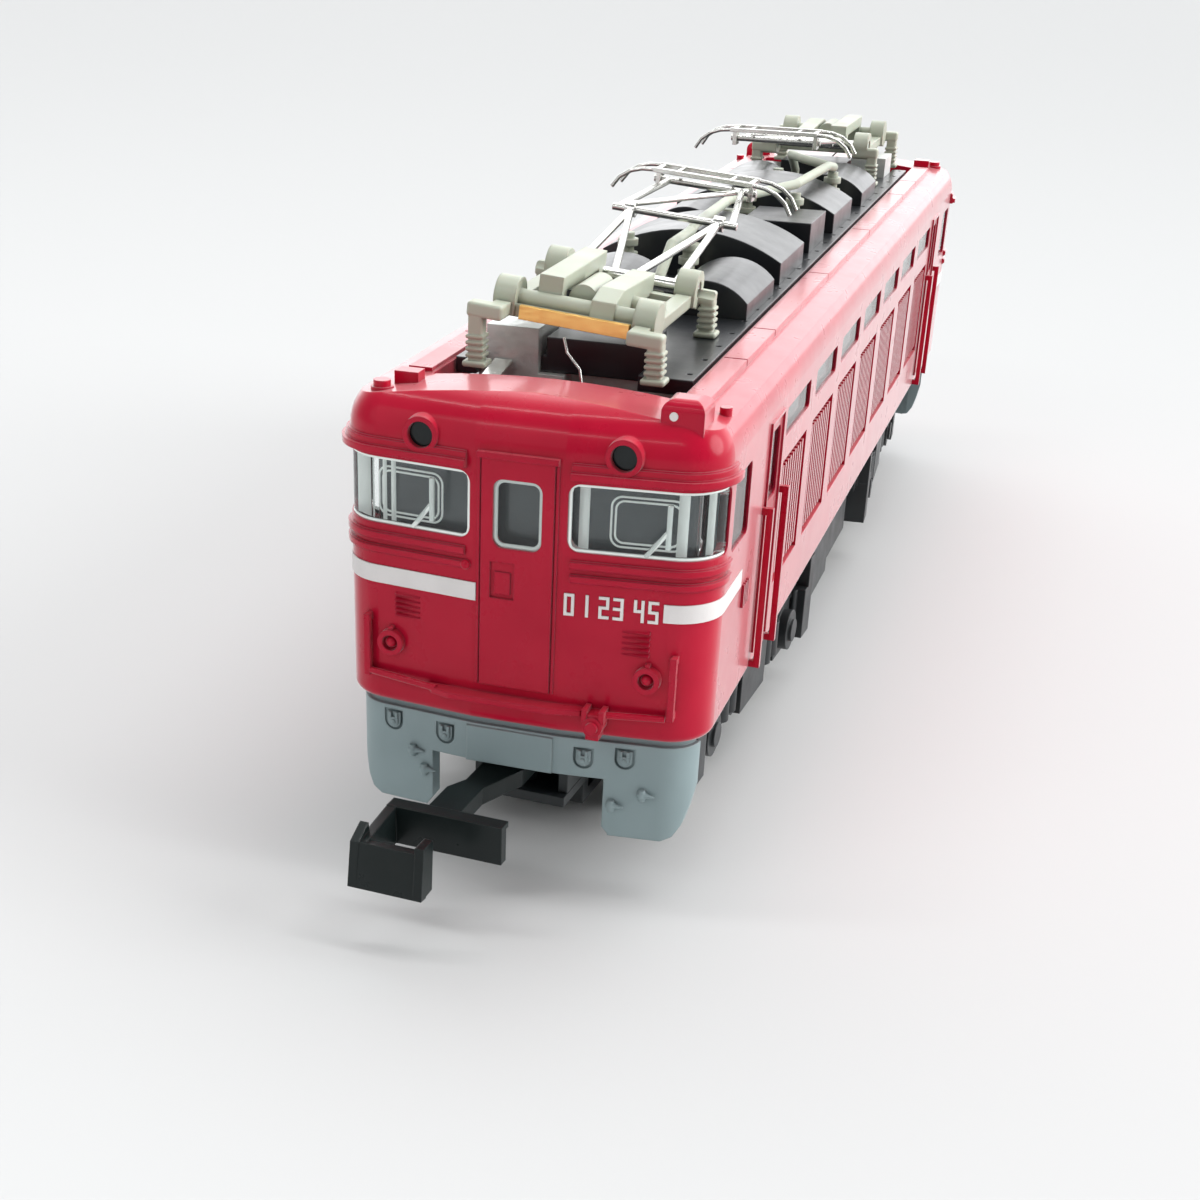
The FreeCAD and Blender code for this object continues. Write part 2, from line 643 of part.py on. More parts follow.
def chassis_block():
    """The die-cast frame before it is split: motor bay, shaft channels and bogie wells are open."""
    block = box(-7.7, 7.7, -35.5, 35.5, 10.0, 19.6)
    noses = ends([box(-7.0, 7.0, -42.6, -35.5, 9.9, 14.5)])
    body = fuse([block] + noses)
    bay = box(-4.9, 4.9, -MOTOR_HALF - 5.3, MOTOR_HALF + 5.3, 8, 18.2)
    channels = ends([box(-2.3, 2.3, -31.5, -12, 11.2, 15.4)])
    wells = ends([box(-2.5, 2.5, -BOGIE_Y - 2.6, -BOGIE_Y + 2.6, 9, 15.4)])
    seats = ends([rod((0, -BOGIE_Y, 9), (0, -BOGIE_Y, 11.3), PIVOT_R + 0.08)])
    tower = ends([box(-7.0, 7.0, -30.5, -16.1, 15.9, 18.6)])
    return body.cut(group([bay] + channels + wells + seats + tower + frame_bolts(0.04)))


def frame_bolts(extra):
    """The bolts that clamp the two frame halves, as cylinders with a given extra radius."""
    bolts = []
    for y in (-33.5, -14.0, 14.0, 33.5):
        bolts.append(rod((-8.2, y, BOLT_Z), (8.2, y, BOLT_Z), 0.6 + extra))
    return bolts


def frame_half(sign):
    keep = box(0.15, 9, -50, 50, 0, 30) if sign > 0 else box(-9, -0.15, -50, 50, 0, 30)
    return chassis_block().common(keep)


def frame_screws():
    """Slotted clamping bolts with a head at each side of the frame."""
    screws = []
    for bolt in frame_bolts(0):
        centre = bolt.BoundBox.Center
        heads = [rod((s * 7.7, centre.y, centre.z), (s * 8.3, centre.y, centre.z), 1.0) for s in (-1, 1)]
        slot = box(8.05, 8.6, centre.y - 0.8, centre.y + 0.8, centre.z - 0.12, centre.z + 0.12)
        screws.append(fuse([bolt] + heads).cut(slot))
    return group(screws)


def shaft_bushes():
    """Bearings of the worm shafts, held in the frame channels."""
    bushes = []
    for y in (-30.6, -17.4):
        block = box(-2.3, 2.3, y - 0.5, y + 0.5, 11.2, 15.4)
        bushes.append(block.cut(rod((0, y - 1, SHAFT_Z), (0, y + 1, SHAFT_Z), SHAFT_R + RUNNING)))
    return group(ends(bushes))


def motor_can():
    """The flat-sided motor housing, with a bearing hole in each end."""
    can = tube((0, -MOTOR_HALF, SHAFT_Z), (0, MOTOR_HALF, SHAFT_Z), MOTOR_R, MOTOR_R - 0.5)
    cap_places = (-MOTOR_HALF, MOTOR_HALF - 0.6)
    caps = [rod((0, y, SHAFT_Z), (0, y + 0.6, SHAFT_Z), MOTOR_R - 0.5) for y in cap_places]
    hole = rod((0, -20, SHAFT_Z), (0, 20, SHAFT_Z), SHAFT_R + RUNNING)
    return fuse([can] + caps).cut(hole)


def armature():
    """The motor's rotor: shaft, three-pole core and commutator."""
    shaft = rod((0, -12.6, SHAFT_Z), (0, 12.6, SHAFT_Z), SHAFT_R)
    core = rod((0, -4.4, SHAFT_Z), (0, 3.6, SHAFT_Z), 3.3)
    slots = []
    for n in range(3):
        slot = box(-0.45, 0.45, -6, 6, SHAFT_Z + 1.4, SHAFT_Z + 5)
        slot.rotate(V(0, 0, SHAFT_Z), Y_AXIS, 120 * n)
        slots.append(slot)
    commutator = rod((0, 4.2, SHAFT_Z), (0, 6.2, SHAFT_Z), 1.1)
    return fuse([shaft, core.cut(group(slots)), commutator])


def flywheels():
    wheel = tube((0, 8.4, SHAFT_Z), (0, 11.8, SHAFT_Z), FLYWHEEL_R, SHAFT_R)
    return group(ends([wheel]))


def worm():
    """A worm on its shaft. Close rings stand in for the thread."""
    parts = [rod((0, 12.7, SHAFT_Z), (0, 31.3, SHAFT_Z), SHAFT_R),
             rod((0, 19.2, SHAFT_Z), (0, 27.4, SHAFT_Z), WORM_R - 0.4)]
    for n in range(8):
        y = 19.5 + n * 0.94
        parts.append(rod((0, y, SHAFT_Z), (0, y + 0.45, SHAFT_Z), WORM_R))
    cup = tube((0, 12.0, SHAFT_Z), (0, 14.4, SHAFT_Z), 1.2, 0.75)
    return fuse(parts + [cup, rod((0, 13.9, SHAFT_Z), (0, 14.4, SHAFT_Z), 1.2)])


def worms():
    return group(ends([worm()]))


def circuit_board():
    """The lighting board on top of the frame, with its lamps and a bare contact strip at each end."""
    board = box(-4.2, 4.2, -37.5, 37.5, 19.65, 20.25)
    lamps = ends([rod((0, -39.4, 20.0), (0, -37.3, 20.0), 0.75)])
    return fuse([board] + lamps)


def contact_strips():
    """Bright sprung strips that carry current along the top of the frame, seen in the roof slots."""
    strip = box(-4.4, -3.3, -41.0, -30.0, 20.3, 20.45)
    rise = prism([(-4.4, -41.0, 20.3), (-4.4, -41.2, 20.3), (-4.4, -38.95, 23.1), (-4.4, -38.75, 23.0)],
                 (1.1, 0, 0))
    blade = prism([(-4.4, -38.95, 23.1), (-4.4, -38.75, 23.0), (-4.4, -38.4, 23.75), (-4.4, -35.1, 24.35),
                   (-4.4, -35.1, 24.5), (-4.4, -38.55, 23.9)], (0.95, 0, 0))
    lead = bent_wire([(0.4, -37.0, 20.33), (0.5, -37.8, 21.6), (0.9, -37.3, 23.6), (0.6, -37.1, 24.9),
                      (-0.1, -36.95, 25.6), (-0.3, -36.9, 26.3)], 0.07)
    return group(ends([fuse([strip, rise, blade]), lead]))


def light_guides():
    """Clear prisms that carry lamp light up to the two headlights of each cab."""
    trunk = box(-0.9, 0.9, -41.0, -39.5, 19.4, 22.3)
    bar = box(-5.5, 5.5, -41.9, -41.0, 21.3, CEILING - 0.05)
    stubs = []
    for x in (-LAMP_X, LAMP_X):
        stubs.append(rod((x, -41.9, LAMP_Z), (x, front_face(x) + 0.95, LAMP_Z), LENS_R - 0.05))
    joint = box(-0.9, 0.9, -41.9, -41.0, 21.3, 22.3)
    return group(ends([fuse([trunk, bar, joint] + stubs)]))


def underframe():
    """Equipment boxes and air tanks hung between the bogies."""
    tray = box(-7.2, 7.2, -8.2, 8.2, 7.4, 8.3)
    cases = sides([box(3.2, 8.2, -7.6, -0.6, 3.4, 7.4), box(3.6, 8.0, 0.6, 7.8, 3.8, 7.4)])
    tanks = [rod((x, -7.2, 4.9), (x, 7.2, 4.9), 1.35) for x in (-1.6, 1.6)]
    hangers = [box(-3.4, 3.4, y - 0.3, y + 0.3, 5.0, 7.5) for y in (-5.0, 5.0)]
    posts = ends(sides([box(5.2, 7.2, 7.0, 8.2, 8.3, 10.0)]))
    return fuse([tray] + cases + tanks + hangers + posts)


# ------------------------------------------------------------------- bogies

def gear_blank(teeth, phase, y, z, half):
    """A spur gear about an axle along X. phase is the angle of one tooth's middle."""
    pitch_r = GEAR_MODULE * teeth / 2
    root = pitch_r - 0.33
    tip = pitch_r + 0.24
    step = 2 * math.pi / teeth
    points = []
    for n in range(teeth):
        middle = phase + n * step
        for radius, share in ((root, -0.29), (tip, -0.11), (tip, 0.11), (root, 0.29)):
            angle = middle + share * step
            points.append((-half, y + radius * math.cos(angle), z + radius * math.sin(angle)))
    return prism(points, (2 * half, 0, 0))


def idler_height():
    reach = GEAR_MODULE * (IDLER_TEETH + AXLE_TEETH) / 2
    return AXLE_Z + math.sqrt(reach ** 2 - (AXLE_Y - IDLER_Y) ** 2)


def centre_height():
    reach = GEAR_MODULE * (CENTRE_TEETH + IDLER_TEETH) / 2
    return idler_height() + math.sqrt(reach ** 2 - IDLER_Y ** 2)


def mesh_phase(phase_a, teeth_a, direction, teeth_b):
    """The phase that lets gear b, found from gear a in that direction, fall into mesh with it."""
    step_a = 2 * math.pi / teeth_a
    step_b = 2 * math.pi / teeth_b
    return direction + math.pi - step_b * (0.5 - (direction - phase_a) / step_a)


def gear_train(side):
    """Phases and centres of the idler and axle gears on one side (+1 or -1) of the centre gear."""
    start = math.pi / 2
    to_idler = math.atan2(idler_height() - centre_height(), side * IDLER_Y)
    idler_phase = mesh_phase(start, CENTRE_TEETH, to_idler, IDLER_TEETH)
    to_axle = math.atan2(AXLE_Z - idler_height(), side * (AXLE_Y - IDLER_Y))
    axle_phase = mesh_phase(idler_phase, IDLER_TEETH, to_axle, AXLE_TEETH)
    return idler_phase, axle_phase


def centre_gear():
    """The worm wheel at the top of the gear tower, on its own stub shaft."""
    z = centre_height()
    gear = gear_blank(CENTRE_TEETH, math.pi / 2, 0, z, GEAR_HALF)
    return gear.fuse(rod((-1.95, 0, z), (1.95, 0, z), 0.5))


def idler_gear(side):
    y = side * IDLER_Y
    z = idler_height()
    gear = gear_blank(IDLER_TEETH, gear_train(side)[0], y, z, GEAR_HALF)
    return gear.fuse(rod((-1.95, y, z), (1.95, y, z), 0.5))


def axle(side):
    """One axle with its gear moulded on."""
    y = side * AXLE_Y
    gear = gear_blank(AXLE_TEETH, gear_train(side)[1], y, AXLE_Z, GEAR_HALF - 0.1)
    shaft = rod((-WHEEL_FRONT_X + 0.2, y, AXLE_Z), (WHEEL_FRONT_X - 0.2, y, AXLE_Z), AXLE_R)
    return gear.fuse(shaft)


def wheel_pair(side):
    """Two flanged wheels, dished on their outer faces."""
    y = side * AXLE_Y
    flange = Part.makeCone(FLANGE_R - 0.15, FLANGE_R, 0.25, V(WHEEL_BACK_X, y, AXLE_Z), X_AXIS)
    rim = Part.makeCone(FLANGE_R, TREAD_R + 0.12, 0.4, V(WHEEL_BACK_X + 0.25, y, AXLE_Z), X_AXIS)
    length = WHEEL_FRONT_X - WHEEL_BACK_X - 0.65
    tread = Part.makeCone(TREAD_R + 0.12, TREAD_R, length, V(WHEEL_BACK_X + 0.65, y, AXLE_Z), X_AXIS)
    dish = tube((WHEEL_FRONT_X - 0.5, y, AXLE_Z), (WHEEL_FRONT_X + 1, y, AXLE_Z), 3.0, 1.3)
    bore = rod((0, y, AXLE_Z), (9, y, AXLE_Z), AXLE_R)
    return group(sides([fuse([flange, rim, tread]).cut(group([dish, bore]))]))


def side_frame():
    """One outer bogie side: axle boxes, equalising bar, coil springs, brake gear and sand boxes."""
    x0, x1 = 6.7, 7.5
    web = box(x0, x1, -12.6, 12.6, 6.0, 7.6)
    pedestals = [box(x0, x1, s * AXLE_Y - 1.6, s * AXLE_Y + 1.6, 3.0, 7.8) for s in (-1, 1)]
    boxes = [rod((x0 + 0.1, s * AXLE_Y, AXLE_Z), (8.1, s * AXLE_Y, AXLE_Z), 1.25) for s in (-1, 1)]
    lids = [rod((8.0, s * AXLE_Y, AXLE_Z), (8.3, s * AXLE_Y, AXLE_Z), 0.7) for s in (-1, 1)]
    bolster = box(x0, x1 + 0.5, -2.6, 2.6, 3.4, 7.2)
    bar = box(x0, x1 - 0.1, -7.0, 7.0, 3.3, 4.2)
    springs = []
    for y in (-5.3, -3.8, 3.8, 5.3):
        springs.append(rod((7.4, y, 4.1), (7.4, y, 6.2), 0.62))
    steps = [box(x0, 8.3, s * 11.6 - 0.9, s * 11.6 + 0.9, 3.2, 6.4) for s in (-1, 1)]
    pipes = [rod((7.6, s * 10.55, 3.4), (7.6, s * 10.55, 6.4), 0.22) for s in (-1, 1)]
    struts = [prism([(x0, s * 6.4, 6.2), (x0, s * 7.0, 6.2), (x0, s * 3.0, 3.4), (x0, s * 2.4, 3.4)],
                    (0.9, 0, 0))
              for s in (-1, 1)]
    sand = [box(x0 + 0.1, 8.3, s * 12.0 - 0.55, s * 12.0 + 0.55, 6.2, 8.3) for s in (-1, 1)]
    return fuse([web, bolster, bar] + pedestals + boxes + lids + springs + steps + pipes + struts + sand)


def bogie_frame():
    """The bogie moulding: side frames, bolster, end beams, gear tower cheeks and pivot collar."""
    z_gear = centre_height()
    cheek = prism([(1.3, -11.4, 3.1), (1.3, 11.4, 3.1), (1.3, 11.4, 6.6), (1.3, 6.2, 8.6), (1.3, 2.4, 9.4),
                   (1.3, 2.4, 10.5), (1.3, -2.4, 10.5), (1.3, -2.4, 9.4), (1.3, -6.2, 8.6),
                   (1.3, -11.4, 6.6)],
                  (0.75, 0, 0))
    cheeks = sides([cheek])
    bolster = sides([box(2.0, 6.8, -2.4, 2.4, 6.6, 9.0)])
    beams = [box(-7.4, 7.4, s * 13.3 - 0.35, s * 13.3 + 0.35, 5.9, 7.6) for s in (-1, 1)]
    links = [box(-2.05, 2.05, min(s * 11.2, s * 13.2), max(s * 11.2, s * 13.2), 5.9, 6.6) for s in (-1, 1)]
    tails = sides([box(6.7, 7.4, 12.4, 13.6, 5.9, 7.6), box(6.7, 7.4, -13.6, -12.4, 5.9, 7.6)])
    collar = tube((0, 0, 9.0), (0, 0, 10.9), PIVOT_R, PIVOT_R - 0.9)
    frame = fuse(cheeks + bolster + beams + links + tails + [collar] + sides([side_frame()]))
    holes = [rod((-3, 0, z_gear), (3, 0, z_gear), 0.5 + RUNNING)]
    for side in (-1, 1):
        z = idler_height()
        holes.append(rod((-3, side * IDLER_Y, z), (3, side * IDLER_Y, z), 0.5 + RUNNING))
        holes.append(rod((-3, side * AXLE_Y, AXLE_Z), (3, side * AXLE_Y, AXLE_Z), AXLE_R + RUNNING))
    gear_room = box(-1.3, 1.3, -11.0, 11.0, 3.0, 12)
    return frame.cut(group(holes + [gear_room])).fuse(coupler_pocket())


def coupler_pocket():
    """The box under the outer end beam that holds the coupler, with its upright pivot pin."""
    y0 = COUPLER_PIN_Y - 1.9
    y1 = -13.6
    roof = box(-2.6, 2.6, y0, -13.2, 7.0, 7.6)
    walls = sides([box(2.1, 2.6, y0 + 0.8, y1, 3.6, 7.2)])
    back = box(-2.6, 2.6, y1 - 0.1, y1 + 0.5, 3.6, 7.2)
    pin = rod((0, COUPLER_PIN_Y, 3.6), (0, COUPLER_PIN_Y, 7.1), 0.5)
    return fuse([roof, back, pin] + walls)


def bogie_cover():
    """The keeper plate clipped under the gears, which also closes the coupler pocket."""
    plate = box(-2.4, 2.4, -13.0, 11.6, 1.5, 2.15)
    rails = sides([box(1.4, 2.0, -11.4, 11.4, 2.15, 3.1)])
    ribs = [box(-1.2, 1.2, y - 0.2, y + 0.2, 1.3, 1.5) for y in (-10, -6, -2, 2, 6, 10)]
    tongue = box(-2.6, 2.6, COUPLER_PIN_Y - 1.6, -13.0, 3.0, 3.55)
    riser = box(-2.4, 2.4, -13.4, -12.6, 1.5, 3.5)
    return fuse([plate, tongue, riser] + rails + ribs)


def wheel_wipers():
    """Springy bronze strips that lie against the backs of the wheels."""
    strip = box(3.0, 3.15, -9.4, 9.4, 5.6, 6.4)
    pads = [box(3.15, 3.6, s * 7.6 - 0.5, s * 7.6 + 0.5, 5.7, 6.3) for s in (-1, 1)]
    strip = strip.cut(box(2.5, 4, -2.5, 2.5, 6.55, 9))
    return group(sides([fuse([strip] + pads)]))


def coupler_swivel():
    """The small block that turns about the pocket's pin and carries the coupler's trunnion."""
    z = COUPLER_Z
    y = COUPLER_PIN_Y
    ring = tube((0, y, z - 0.7), (0, y, z + 0.7), 1.15, 0.5 + RUNNING)
    tongue = box(-0.5, 0.5, y - 2.6, y - 0.9, z - 0.55, z + 0.55)
    eye = rod((-1, y - 2.1, z), (1, y - 2.1, z), 0.3 + RUNNING)
    return ring.fuse(tongue).cut(eye).cut(rod((0, y, 0), (0, y, 9), 0.5 + RUNNING))


def coupler():
    """The hook coupler: forked shank, cross plate, side arm and trough-shaped hook."""
    z = COUPLER_Z
    y = COUPLER_PIN_Y
    plate_y = COUPLER_PLATE_Y
    hook_y = COUPLER_HOOK_Y
    fork = sides([box(0.62, 1.15, y - 3.6, y - 1.75, z - 0.5, z + 0.4)])
    trunnion = rod((-1.1, y - 2.1, z), (1.1, y - 2.1, z), 0.3)
    plan = [(-1.15, y - 3.2), (1.15, y - 3.2), (1.15, y - 3.9), (0.7, y - 5.0), (0.1, y - 6.6),
            (0.1, plate_y + 0.3), (-1.6, plate_y + 0.3), (-1.6, y - 7.1), (-1.05, y - 6.0), (-1.05, y - 4.0)]
    shank = prism([(px, py, z - 0.5) for px, py in plan], (0, 0, 0.9))
    plate = box(-3.45, 2.6, plate_y - 0.3, plate_y + 0.3, 3.95, 5.95)
    lip = box(-3.45, 2.6, plate_y - 0.3, plate_y + 0.55, 5.65, 5.95)
    arm = prism([(-3.45, plate_y, 3.95), (-3.45, plate_y, 5.95), (-3.45, hook_y + 0.3, 5.55),
                 (-3.45, hook_y + 0.2, 3.7)], (0.5, 0, 0))
    face = prism([(-3.75, hook_y - 0.35, 3.3), (-3.75, hook_y + 0.2, 3.25), (-3.75, hook_y + 0.65, 5.5),
                  (-3.75, hook_y + 0.1, 5.55)], (3.85, 0, 0))
    right = prism([(-0.35, hook_y - 0.35, 3.3), (-0.35, hook_y + 0.9, 3.35), (-0.35, hook_y + 1.05, 5.95),
                   (-0.35, hook_y - 0.05, 5.95)], (0.45, 0, 0))
    left = prism([(-3.75, hook_y - 0.35, 3.3), (-3.75, hook_y + 0.3, 3.25), (-3.75, hook_y + 1.25, 5.5),
                  (-3.75, hook_y + 1.15, 6.1), (-3.75, hook_y + 0.05, 5.55)], (0.45, 0, 0))
    return fuse(fork + [trunnion, shank, plate, lip, arm, face, right, left])


# -------------------------------------------------------------- pantographs

def leaned(shape, lean):
    """The shape tipped sideways about the middle of the main shafts."""
    copy = shape.copy()
    copy.rotate(V(0, 0, PANTO_Z), Y_AXIS, lean)
    return copy


def rounded(shape, radius):
    return shape.makeFillet(radius, shape.Edges)


def panto_arm(x, lug_y, leg_y):
    """One outrigger: a stub from a lug to a rounded bar that reaches out over its leg."""
    out = math.copysign(LEG_X, x)
    z0, z1 = PANTO_Z - 0.75, PANTO_Z - 0.05
    bar = rounded(box(min(x, out) - 0.42, max(x, out) + 0.42, leg_y - 0.42, leg_y + 0.42, z0, z1), 0.16)
    stub = box(x - 0.38, x + 0.38, min(lug_y, leg_y), max(lug_y, leg_y), z0 + 0.04, z1 - 0.04)
    return fuse([bar, stub])


def panto_leg(x, y, lean):
    """A ribbed insulator leg of square section that stands upright on the deck under its outrigger."""
    x = math.copysign(LEG_X, x)
    top = PANTO_Z - 0.45 - x * math.tan(math.radians(lean))
    column = rounded(box(x - 0.38, x + 0.38, y - 0.38, y + 0.38, DECK_TOP, top), 0.14)
    foot = rounded(box(x - 0.6, x + 0.6, y - 0.55, y + 0.55, DECK_TOP, DECK_TOP + 0.3), 0.12)
    ribs = []
    for n in range(4):
        z = DECK_TOP + 0.45 + 0.3 * n
        ribs.append(rounded(box(x - 0.46, x + 0.46, y - 0.45, y + 0.45, z, z + 0.19), 0.07))
    return fuse([column, foot] + ribs)


def panto_lug(x, y):
    """A round-topped bearing lug for a main shaft."""
    disc = rod((x - 0.55, y, PANTO_Z), (x + 0.55, y, PANTO_Z), 0.95)
    foot = box(x - 0.55, x + 0.55, y - 0.9, y + 0.9, PANTO_Z - 0.75, PANTO_Z)
    return disc.fuse(foot)


def panto_base(lean):
    """The grey moulded base: side rails, lugs, outriggers, cross shafts, spring box and air cylinder."""
    f, r, z = PANTO_FRONT_Y, PANTO_REAR_Y, PANTO_Z
    parts = []
    legs = []
    for x in (-LUG_X, LUG_X):
        parts += [panto_lug(x, f), panto_lug(x, r), panto_arm(x, f, f - 2.0), panto_arm(x, r, r + 0.5)]
        parts.append(box(x - 0.4, x + 0.4, f, r, z - 0.75, z - 0.15))
        legs += [panto_leg(x, f - 2.0, lean), panto_leg(x, r + 0.5, lean)]
    parts.append(rod((-LUG_X, f, z), (LUG_X, f, z), 0.42))
    parts.append(box(-LUG_X, LUG_X, f - 0.75, f - 0.35, z - 0.75, z - 0.2))
    parts.append(box(-LUG_X, LUG_X, r - 1.7, r - 1.1, z - 0.75, z - 0.2))
    parts.append(box(-2.1, -0.9, f, r - 0.5, z + 0.5, z + 1.25))
    parts.append(box(-2.1, -0.9, f, f + 0.8, z - 0.6, z + 0.6))
    parts.append(box(-2.1, -0.9, r - 1.7, r - 1.0, z - 0.6, z + 0.6))
    parts.append(rod((0.0, f + 0.6, z + 0.25), (0.0, f + 3.8, z + 0.25), 0.72))
    wedge = prism([(0.7, f - 0.6, z - 0.65), (0.7, f - 0.35, z + 0.55), (0.7, f + 1.0, z + 0.95),
                   (0.7, r - 1.1, z + 0.7), (0.7, r - 1.1, z - 0.3)], (1.2, 0, 0))
    parts.append(wedge)
    parts.append(rod((1.8, f + 3.0, z - 0.1), (LUG_X, f + 3.0, z - 0.1), 0.4))
    parts.append(box(-1.0, 0.75, f + 3.4, f + 4.4, z - 0.7, z + 0.2))
    bore = rod((-9, r, z), (9, r, z), 0.35 + RUNNING)
    base = fuse([leaned(fuse(parts), lean)] + legs)
    return base.cut(leaned(bore, lean))


def brass_strip():
    """The brass contact plate across the front of the pantograph base."""
    f, z = PANTO_FRONT_Y, PANTO_Z
    return box(-2.65, 2.85, f - 1.05, f - 0.75, z - 0.8, z - 0.15)


def lower_arms():
    """The lower frame: a cross shaft and a braced pair of wires that meet at each knee."""
    r, z = PANTO_REAR_Y, PANTO_Z
    shaft = rod((-4.0, r, z), (4.0, r, z), 0.35)
    parts = [shaft]
    for s in (-1, 1):
        knee = (s * KNEE_X, KNEE_Y, KNEE_Z)
        parts.append(rod((s * 2.7, r, z), knee, WIRE_R))
        parts.append(rod((s * 0.5, r, z + 0.1), knee, WIRE_R))
        parts.append(rod((s * (KNEE_X - 0.3), KNEE_Y, KNEE_Z), (s * (KNEE_X + 0.3), KNEE_Y, KNEE_Z), 0.42))
    eyes = rod((-5, KNEE_Y, KNEE_Z), (5, KNEE_Y, KNEE_Z), WIRE_R + RUNNING)
    return fuse(parts).cut(eyes)


def upper_arms():
    """The upper frame: knee shaft, two long wires, a diagonal brace and the head pins."""
    knee_shaft = rod((-3.6, KNEE_Y, KNEE_Z), (3.6, KNEE_Y, KNEE_Z), WIRE_R)
    parts = [knee_shaft]
    for s in (-1, 1):
        parts.append(rod((s * 3.3, KNEE_Y, KNEE_Z), (s * 2.2, HEAD_Y, HEAD_Z), WIRE_R))
    parts.append(rod((-3.2, KNEE_Y + 0.5, KNEE_Z + 0.05), (2.2, HEAD_Y, HEAD_Z), WIRE_R * 0.8))
    parts.append(rod((-3.1, HEAD_Y, HEAD_Z), (3.1, HEAD_Y, HEAD_Z), WIRE_R))
    return fuse(parts)


def collector_head():
    """The collector head: two contact strips with down-turned horns, joined by two stays."""
    parts = []
    top = HEAD_Z + 0.62
    for dy in (-1.0, 1.0):
        y = HEAD_Y + dy
        parts.append(box(-3.0, 3.0, y - 0.17, y + 0.17, top - 0.12, top + 0.12))
        for s in (-1, 1):
            fall = [(2.9, 0), (3.7, 0.06), (4.4, 0.28), (5.0, 0.7), (5.4, 1.3)]
            horn = [(s * reach, y, top - drop) for reach, drop in fall]
            parts.append(bent_wire(horn, 0.12))
    for x in (-1.6, 1.6):
        parts.append(box(x - 0.1, x + 0.1, HEAD_Y - 1.05, HEAD_Y + 1.05, top - 0.14, top + 0.08))
    for x in (-2.8, 2.8):
        parts.append(box(x - 0.14, x + 0.14, HEAD_Y - 1.05, HEAD_Y + 1.05, top - 0.14, top + 0.08))
        parts.append(box(x - 0.14, x + 0.14, HEAD_Y - 0.42, HEAD_Y + 0.42, HEAD_Z - 0.42, top))
    head = fuse(parts)
    return head.cut(rod((-5, HEAD_Y, HEAD_Z), (5, HEAD_Y, HEAD_Z), WIRE_R + RUNNING))


# ----------------------------------------------------------------- assembly

def bogie_parts():
    """Every piece of one bogie about its own centre, with the coupler towards -Y."""
    return {
        "bogie_frame": bogie_frame(),
        "bogie_cover": bogie_cover(),
        "wheel_wipers": wheel_wipers(),
        "worm_gear": centre_gear(),
        "outer_idler": idler_gear(-1),
        "inner_idler": idler_gear(1),
        "outer_axle": axle(-1),
        "inner_axle": axle(1),
        "outer_wheels": wheel_pair(-1),
        "inner_wheels": wheel_pair(1),
        "coupler_swivel": coupler_swivel(),
        "coupler": coupler(),
    }


def pantograph_parts(lean):
    """Every piece of one pantograph, tipped sideways by lean degrees."""
    return {
        "panto_base": panto_base(lean),
        "panto_strip": leaned(brass_strip(), lean),
        "panto_lower_arms": leaned(lower_arms(), lean),
        "panto_upper_arms": leaned(upper_arms(), lean),
        "panto_head": leaned(collector_head(), lean),
    }


def body_parts():
    glazing = cab_glazing()
    apron = skirt()
    return {
        "body_shell": body_shell(),
        "front_glazing": glazing,
        "rear_glazing": turned(glazing),
        "side_glazing": side_glazing(),
        "headlight_lenses": headlight_lenses(),
        "cab_markings": cab_markings(),
        "front_skirt": apron,
        "rear_skirt": turned(apron),
        "roof_insert": roof_insert(),
        "roof_equipment": roof_equipment(),
        "roof_insulators": roof_insulators(),
        "conductor_pipes": conductor_pipes(),
        "roof_weight": roof_weight(),
        "frame_left": frame_half(-1),
        "frame_right": frame_half(1),
        "frame_screws": frame_screws(),
        "shaft_bushes": shaft_bushes(),
        "motor_can": motor_can(),
        "armature": armature(),
        "flywheels": flywheels(),
        "worms": worms(),
        "circuit_board": circuit_board(),
        "contact_strips": contact_strips(),
        "light_guides": light_guides(),
        "underframe": underframe(),
    }


def all_parts():
    parts = body_parts()
    for name, shape in bogie_parts().items():
        parts["front_" + name] = moved(turned(shape, -BOGIE_TURN), 0, -BOGIE_Y, 0)
        parts["rear_" + name] = moved(turned(shape, 180 + BOGIE_TURN), 0, BOGIE_Y, 0)
    for name, shape in pantograph_parts(PANTO_LEAN).items():
        parts["front_" + name] = shape
    for name, shape in pantograph_parts(0).items():
        parts["rear_" + name] = turned(shape)
    return parts


os.makedirs("parts", exist_ok=True)
for node, solid in all_parts().items():
    solid.exportStep("parts/" + node + ".step")
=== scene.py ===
"""Looks of the model electric locomotive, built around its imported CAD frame. Metres."""
import math

import bmesh
import bpy
from mathutils import Matrix, Vector


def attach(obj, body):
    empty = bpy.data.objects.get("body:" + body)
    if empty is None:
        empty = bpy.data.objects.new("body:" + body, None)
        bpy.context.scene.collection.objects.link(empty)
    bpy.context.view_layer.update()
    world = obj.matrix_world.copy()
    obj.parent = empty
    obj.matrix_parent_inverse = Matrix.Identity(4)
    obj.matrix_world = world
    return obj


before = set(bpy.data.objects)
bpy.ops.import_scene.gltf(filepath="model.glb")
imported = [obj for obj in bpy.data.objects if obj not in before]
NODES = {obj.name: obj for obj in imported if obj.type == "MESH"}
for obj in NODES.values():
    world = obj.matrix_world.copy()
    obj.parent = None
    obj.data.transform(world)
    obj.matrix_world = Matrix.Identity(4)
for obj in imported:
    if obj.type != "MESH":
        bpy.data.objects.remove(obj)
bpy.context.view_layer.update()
MM = 0.001

# ---------------------------------------------------------------- camera
IMAGE = 1200
CAMERA_AT = Vector((25.04, -120.53, 46.47)) * MM
CAMERA_YAW = 17.91
CAMERA_PITCH = 28.83
CAMERA_ROLL = 1.46
FOCAL_PIXELS = 1804.2
CENTRE_PIXELS = (517.3, 847.6)
SENSOR = 36.0
CLIP_NEAR = 0.005
CLIP_FAR = 20


